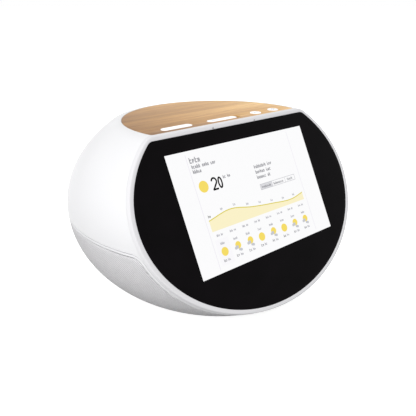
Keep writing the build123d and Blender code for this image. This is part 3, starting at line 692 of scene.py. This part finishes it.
def cover_glass():
    """Flat glass with a rounded front edge."""
    edge, directions = glass_outline()
    bevel = 0.15 * MM
    loops = [front_loop(edge - bevel * directions, GLASS_FAR), front_loop(edge, GLASS_FAR - bevel)]
    for angle in np.linspace(0, math.pi / 2, 4):
        ring = edge - bevel * (1 - math.cos(angle)) * directions
        loops.append(front_loop(ring, GLASS_NEAR + bevel * (1 - math.sin(angle))))
    for share in (0.97, 0.9, 0.75, 0.5, 0.25):
        loops.append(front_loop(edge * share, GLASS_NEAR))
    verts, faces = loop_grid(loops, cap_first=True, cap_last=True)
    glass = piece("glass", verts, faces, materials["black_glass"])
    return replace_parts(glass, "cover_glass")


# ---- Grille ---------------------------------------------------------------------------------------
ANGLES = np.linspace(-math.pi, math.pi, 481)[:-1]  # round the body, from the rear to the rear


def trim_ring():
    """White ring along the grille's edge, with softened edges and a seat reaching inwards."""
    inner = 0.3 * MM
    outer = TRIM_W - 0.55 * MM
    soft = 0.4 * MM
    seat = 3.2 * MM
    near = 0.02 * MM
    rows = [(inner, seat), (inner, soft), (inner + 0.3 * soft, 0.3 * soft), (inner + soft, near)]
    rows += [((inner + outer) / 2, near), (outer - soft, near)]
    rows += [(outer - 0.3 * soft, 0.3 * soft), (outer, soft), (outer, seat)]
    loops = []
    for grow, deep in rows:
        loops.append(on_egg(ANGLES, grille_edge(ANGLES, grow, deep), deep))
    verts, faces = loop_grid(loops, close_rows=True)
    ring = piece("trim_ring", verts, faces, materials["white_shell"])
    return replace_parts(ring, "grille_trim_ring")


def on_egg_rolled(z, inset, roll):
    """Like on_egg at ANGLES, with an inset that grows by a roll that differs from point to point."""
    share = np.clip((z - BODY_Z) / (BODY_C - inset - roll), -1, 1)
    radius = (BODY_R - inset - roll) * np.sqrt(1 - share**2)
    return np.stack((radius * np.sin(ANGLES), -radius * np.cos(ANGLES), z), -1)


def grille_cloth():
    """Knitted cloth stretched over the grille frame, rolled in at both edges, cut out for the port."""
    outside = 0.3 * MM
    inside = 1.3 * MM
    roll_depth = 0.55 * MM
    roll_reach = 0.9 * MM
    top = grille_edge(ANGLES, -0.5 * MM, outside)
    rise = np.linspace(0, 1, 70)
    low = GRILLE_LOW_Z
    loops = []
    for share in rise:
        z = low + (top - low) * share
        near_edge = np.minimum(top - z, z - low + 0.4 * MM)
        roll = roll_depth * np.clip(1 - near_edge / roll_reach, 0, 1) ** 2
        loops.append(on_egg_rolled(z, outside, roll))
    for share in rise[::-1]:
        loops.append(on_egg(ANGLES, low + (top - low) * share, inside))
    verts, faces = loop_grid(loops, close_rows=True)
    cloth = piece("grille_cloth", verts, faces, materials["knit_fabric"])
    port_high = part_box("port_housing")[1]
    clear = 0.3 * MM
    ring = stadium(GRILLE_PORT_L + 2 * clear, GRILLE_PORT_H + 2 * clear)
    middle = port_high.z - GRILLE_PORT_H / 2
    near = [(x, port_high.y - 60 * MM, middle + z) for x, z in ring]
    far = [(x, port_high.y + 30 * MM, middle + z) for x, z in ring]
    cut(cloth, *loop_grid([near, far], cap_first=True, cap_last=True))
    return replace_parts(cloth, "grille_fabric")


# ---- Wood top -------------------------------------------------------------------------------------
def wood_outline(steps=160):
    """Disc with a straight front edge and small rounded tips."""
    radius = WOOD_HIGH.x
    chord = WOOD_LOW.y
    tip = 1.5 * MM
    tip_x = math.sqrt((radius - tip) ** 2 - (chord + tip) ** 2)
    start = math.atan2(chord + tip, tip_x)
    turn = np.linspace(start, math.pi - start, steps)
    disc = np.stack((radius * np.cos(turn), radius * np.sin(turn)), -1)
    bend = np.linspace(math.pi - start, 1.5 * math.pi, 8)[1:]
    left = np.stack((-tip_x + tip * np.cos(bend), chord + tip + tip * np.sin(bend)), -1)
    right = left[::-1] * (-1, 1)
    return np.concatenate((disc, left, right))


def filled_plate(name, outlines, z_low, z_high, bevel, material):
    """A flat plate with holes and softened edges, from closed outlines in X and Y."""
    curve = bpy.data.curves.new(name, "CURVE")
    curve.dimensions = "2D"
    curve.fill_mode = "BOTH"
    curve.extrude = (z_high - z_low) / 2 - bevel
    curve.bevel_depth = bevel
    curve.bevel_resolution = 3
    curve.offset = -bevel
    for outline in outlines:
        spline = curve.splines.new("POLY")
        spline.points.add(len(outline) - 1)
        for point, (x, y) in zip(spline.points, outline):
            point.co = (x, y, 0, 1)
        spline.use_cyclic_u = True
    holder = add_object(name + "_outline", curve)
    bpy.context.view_layer.update()
    mesh = bpy.data.meshes.new_from_object(holder.evaluated_get(bpy.context.evaluated_depsgraph_get()))
    bpy.data.objects.remove(holder)
    mesh.transform(Matrix.Translation((0, 0, (z_low + z_high) / 2)))
    mesh.name = name
    finish_mesh(mesh, 50.0)
    mesh.materials.clear()
    mesh.materials.append(material)
    obj = add_object(name, mesh)
    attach(obj, ROOT)
    return obj


def control_holes():
    """The openings in the wood round the controls: each control's outline with its gap."""
    wider = 2 * CONTROL_GAP - 2 * CONTROL_FLANGE
    pill_low, pill_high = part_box("pill_button")
    pill = stadium(pill_high.x - pill_low.x + wider, pill_high.y - pill_low.y + wider)
    holes = [pill[::-1] + ((pill_low.x + pill_high.x) / 2, ROW_Y)]
    knob_low, knob_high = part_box("slide_switch_knob")
    slot_length = 2 * (abs(knob_low.x) + CONTROL_GAP)
    slot = stadium(slot_length, knob_high.y - knob_low.y + 2 * CONTROL_GAP)
    holes.append(slot[::-1] + (0, ROW_Y))
    for name in ("round_button_1", "round_button_2"):
        low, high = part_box(name)
        across = high.x - low.x + wider
        round_hole = stadium(across, across - 1e-6)  # a hair longer than wide, so no two points meet
        holes.append(round_hole[::-1] + ((low.x + high.x) / 2, ROW_Y))
    return holes


def wood_top():
    """Oak plate with softened edges and an opening for each control."""
    outlines = [wood_outline()] + control_holes()
    bevel = 0.25 * MM
    top = filled_plate("wood_top", outlines, WOOD_LOW.z, WOOD_HIGH.z, bevel, materials["oak"])
    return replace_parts(top, "wood_top_panel")


# ---- Lit picture, laid out in millimetres from the screen's middle --------------------------------
LAYER = 0.012 * MM  # how far each layer of the picture stands on the last
PAGE_HALF_H = 44.5  # the card's side lines


class Picture:
    """Thin plates on the glass, gathered by colour, each colour one piece."""

    def __init__(self):
        self.colours = {}

    def plate(self, colour, outline, layer):
        """One flat shape, as a closed plate. Higher layers lie nearer the viewer."""
        verts, faces = self.colours.setdefault(colour, ([], []))
        outline = np.asarray(outline, float) * MM
        count = len(outline)
        start = len(verts)
        verts += list(front_loop(outline, GLASS_NEAR - (layer + 1) * LAYER))
        verts += list(front_loop(outline, GLASS_NEAR - layer * LAYER))
        faces.append(tuple(range(start, start + count)))
        faces.append(tuple(range(start + 2 * count - 1, start + count - 1, -1)))
        for i in range(count):
            j = (i + 1) % count
            faces.append((start + i, start + count + i, start + count + j, start + j))

    def box(self, colour, left, right, low, high, layer=1):
        self.plate(colour, [(left, low), (right, low), (right, high), (left, high)], layer)

    def disc(self, colour, s, t, radius, layer=1, squash=1.0):
        turn = full_turn(32)
        outline = np.stack((s + radius * np.cos(turn), t + squash * radius * np.sin(turn)), -1)
        self.plate(colour, outline, layer)

    def stroke(self, colour, points, width, layer=1):
        """A pen stroke of even width, as one plate for each straight run."""
        points = np.asarray(points, float)
        for a, b in zip(points[:-1], points[1:]):
            along = (b - a) / max(np.hypot(*(b - a)), 1e-9)
            out = np.array((-along[1], along[0])) * width / 2
            a = a - along * width * 0.15
            b = b + along * width * 0.15
            self.plate(colour, [a - out, b - out, b + out, a + out], layer)

    def words(self, colour, left, right, base, height, gaps=(), layer=2):
        """Greeked text: unreadable rounded marks, with spaces at the given shares of the line."""
        pitch = 0.58 * height
        count = max(2, round((right - left) / pitch))
        pitch = (right - left) / count
        spaces = {int(gap * count) for gap in gaps}
        pen = 0.17 * height
        low_height = 0.7 * height
        wide = 0.78 * pitch
        for index in range(count):
            if index in spaces:
                continue
            at = left + index * pitch
            tall = height if index == 0 or RNG.random() < 0.22 else low_height
            self.box(colour, at, at + pen, base, base + tall, layer)
            for bar in RNG.permutation(3)[:2]:
                level = base + bar * (low_height - pen) / 2
                self.box(colour, at + pen, at + wide, level, level + pen, layer)
            if RNG.random() < 0.6:
                self.box(colour, at + wide - pen, at + wide, base, base + low_height, layer)

    def build(self):
        made = []
        for colour, (verts, faces) in self.colours.items():
            name = "picture_" + colour
            made.append(piece(name, verts, faces, lit(name, PICTURE_COLOURS[colour])))
        return made


PICTURE_COLOURS = {
    "page": linear(253, 253, 254),
    "card_line": linear(236, 233, 242),
    "first_day": linear(251, 250, 253),
    "grey_text": linear(145, 145, 151),
    "pale_text": linear(172, 172, 180),
    "dark_text": linear(8, 8, 10),
    "sun": linear(247, 222, 104),
    "cloud": linear(200, 202, 208),
    "chart_fill": linear(252, 243, 202),
    "chart_line": linear(222, 208, 84),
    "tab_shade": linear(222, 222, 226),
    "tab_line": linear(186, 186, 192),
}
DAYS = 8
FIRST_DAY_S = -48.3
DAY_PITCH = 13.43
CLOUDY_DAYS = (1, 2, 4, 6, 7)
CLOUD_PUFFS = ((-2.2, -33.6, 1.35), (-0.8, -33.1, 1.6), (2.6, -35.9, 1.3), (1.3, -35.5, 1.2))
CHART_KNOTS = ((-54.3, -7.4), (-31.0, -3.7), (-8.4, -7.6), (14.0, -10.3), (40.0, -12.0), (52.4, -9.7))
CHART_BASE = -16.0
DIGIT_BASE = 13.5
DIGIT_H = 9.3
SMALL_TEXT = 2.0  # heights of the greeked text
TAB_TEXT = 2.2
LINE_TEXT = 3.0


def chart_height(s):
    """Height of the day's temperature line: a smooth cubic through its few knots."""
    knots, levels = np.array(CHART_KNOTS).T
    slopes = np.gradient(levels, knots)
    left = np.clip(np.searchsorted(knots, s) - 1, 0, len(knots) - 2)
    step = knots[left + 1] - knots[left]
    share = (s - knots[left]) / step
    ease = share**2 * (3 - 2 * share)
    lean_left = share * (1 - share) ** 2 * step * slopes[left]
    lean_right = -(share**2) * (1 - share) * step * slopes[left + 1]
    return levels[left] * (1 - ease) + levels[left + 1] * ease + lean_left + lean_right


def digit_two(picture, left):
    """A thin 2: a hook, a slanting stem and a foot."""
    width = 0.56 * DIGIT_H
    pen = 0.15 * DIGIT_H
    foot = DIGIT_BASE + 0.05 * DIGIT_H
    turn = np.linspace(math.radians(165), math.radians(-35), 16)
    radius = width * 0.47
    tall = 1.08 * radius
    hook_s = left + width / 2 + radius * np.cos(turn)
    hook_t = DIGIT_BASE + DIGIT_H - tall + tall * np.sin(turn)
    stem = [*zip(hook_s, hook_t), (left + 0.04 * DIGIT_H, foot)]
    picture.stroke("dark_text", stem, pen)
    picture.stroke("dark_text", [(left, foot), (left + width, foot)], pen)


def digit_nought(picture, left):
    """A thin 0: one oval stroke."""
    half_pen = 0.075 * DIGIT_H
    half_w = 0.25 * DIGIT_H
    turn = np.linspace(0, 2 * math.pi, 33)
    ring_s = left + half_w + (half_w - half_pen) * np.cos(turn)
    ring_t = DIGIT_BASE + DIGIT_H / 2 + (DIGIT_H / 2 - half_pen) * np.sin(turn)
    picture.stroke("dark_text", np.stack((ring_s, ring_t), -1), 2 * half_pen)


def forecast(picture):
    """A row of days: each with its name, its sign and two values."""
    for day in range(DAYS):
        s = FIRST_DAY_S + day * DAY_PITCH
        value_s = s - 4.4
        shade = "dark_text" if day == 0 else "pale_text"
        picture.words(shade, value_s - 1.3, value_s + 1.3, chart_height(value_s) + 2.0, SMALL_TEXT)
        picture.words("pale_text", s - 3.2, s + 3.2, -20.6, SMALL_TEXT, (0.5,))
        picture.words("pale_text", s - 2.1, s + 2.1, -27.1, SMALL_TEXT)
        picture.words("grey_text", s - 3.5, s - 0.4, -40.2, TAB_TEXT)
        picture.words("pale_text", s + 0.6, s + 3.4, -40.2, TAB_TEXT)
        if day in CLOUDY_DAYS:
            picture.disc("sun", s + 0.7, -31.8, 2.9, 2)
            for shift, t, radius in CLOUD_PUFFS:
                picture.disc("cloud", s + shift, t, radius, 3, 0.85)
        else:
            picture.disc("sun", s, -32.7, 3.4, 2)


def tabs(picture):
    """Three framed tabs in a row, the first one shaded."""
    low, high = 2.7, 7.2
    edges = (6.7, 20.6, 36.6, 49.0)
    line = 0.35
    picture.box("tab_shade", edges[0], edges[1], low, high)
    for s in edges:
        picture.box("tab_line", s, s + line, low, high, 2)
    for t in (low, high):
        picture.box("tab_line", edges[0], edges[-1] + 0.3, t, t + line, 2)
    for left, right in ((8.4, 19.4), (22.4, 34.6), (39.4, 46.2)):
        picture.words("grey_text", left, right, 3.9, TAB_TEXT)


def chart(picture):
    """The day's temperature: a smooth line over a pale fill."""
    line_s = np.linspace(CHART_KNOTS[0][0], CHART_KNOTS[-1][0], 36)
    line = list(zip(line_s, chart_height(line_s)))
    picture.plate("chart_fill", line + [(line_s[-1], CHART_BASE), (line_s[0], CHART_BASE)], 1)
    picture.stroke("chart_line", line, 0.75, 2)


def weather_page():
    """A generic weather page: only the number 20 can be read."""
    picture = Picture()
    half_w = SCREEN_W / 2
    half_h = SCREEN_H / 2
    picture.box("page", -half_w, half_w, -half_h, half_h, 0)
    for s in (-57.7, 55.4):
        picture.box("card_line", s, s + 0.45, -PAGE_HALF_H, PAGE_HALF_H)
    picture.box("first_day", -54.8, -41.6, -42.6, -22.6)
    picture.words("grey_text", -55.2, -44.6, 37.4, 4.4)
    picture.words("grey_text", -54.9, -31.0, 33.2, LINE_TEXT, (0.38, 0.75))
    picture.words("grey_text", -54.9, -46.6, 29.4, LINE_TEXT)
    picture.disc("sun", -49.3, 18.4, 4.55)
    digit_two(picture, -41.0)
    digit_nought(picture, -34.9)
    picture.words("grey_text", -28.6, -20.6, 20.4, 2.6, (0.45,))
    for right, base in ((27.2, 21.0), (24.4, 16.6), (22.4, 12.2)):
        picture.words("grey_text", 6.3, right, base, LINE_TEXT, (0.68,))
    tabs(picture)
    chart(picture)
    forecast(picture)
    return picture.build()


# ---- Marks on the controls ------------------------------------------------------------------------
BOX_SIDES = ((3, 2, 1, 0), (4, 5, 6, 7), (0, 1, 5, 4), (1, 2, 6, 5), (2, 3, 7, 6), (3, 0, 4, 7))


def printed_mark(name, node, body, bars, shift=0.0):
    """Printed bars on a control's top, a hair proud of it, shifted along X."""
    low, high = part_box(node)
    middle_x = (low.x + high.x) / 2 + shift
    verts = []
    faces = []
    for width, length in bars:
        start = len(verts)
        for z in (high.z - 0.02 * MM, high.z + 0.03 * MM):
            for sx, sy in ((-1, -1), (1, -1), (1, 1), (-1, 1)):
                verts.append((middle_x + sx * width / 2, ROW_Y + sy * length / 2, z))
        faces += [tuple(start + i for i in quad) for quad in BOX_SIDES]
    return piece(name, verts, faces, materials["mark_paint"], body)


# ---- Build ----------------------------------------------------------------------------------------
front_rim()
cover_glass()
trim_ring()
grille_cloth()
wood_top()
weather_page()
across = (MARK_L, MARK_W)
upright = (MARK_W, MARK_L)
printed_mark("minus_mark", "round_button_1", "round_button_1_body", [across])
printed_mark("plus_mark", "round_button_2", "round_button_2_body", [across, upright])
printed_mark("slide_mark", "slide_switch_knob", "slide_switch", [(5 * MM, 0.7 * MM)], -9 * MM)
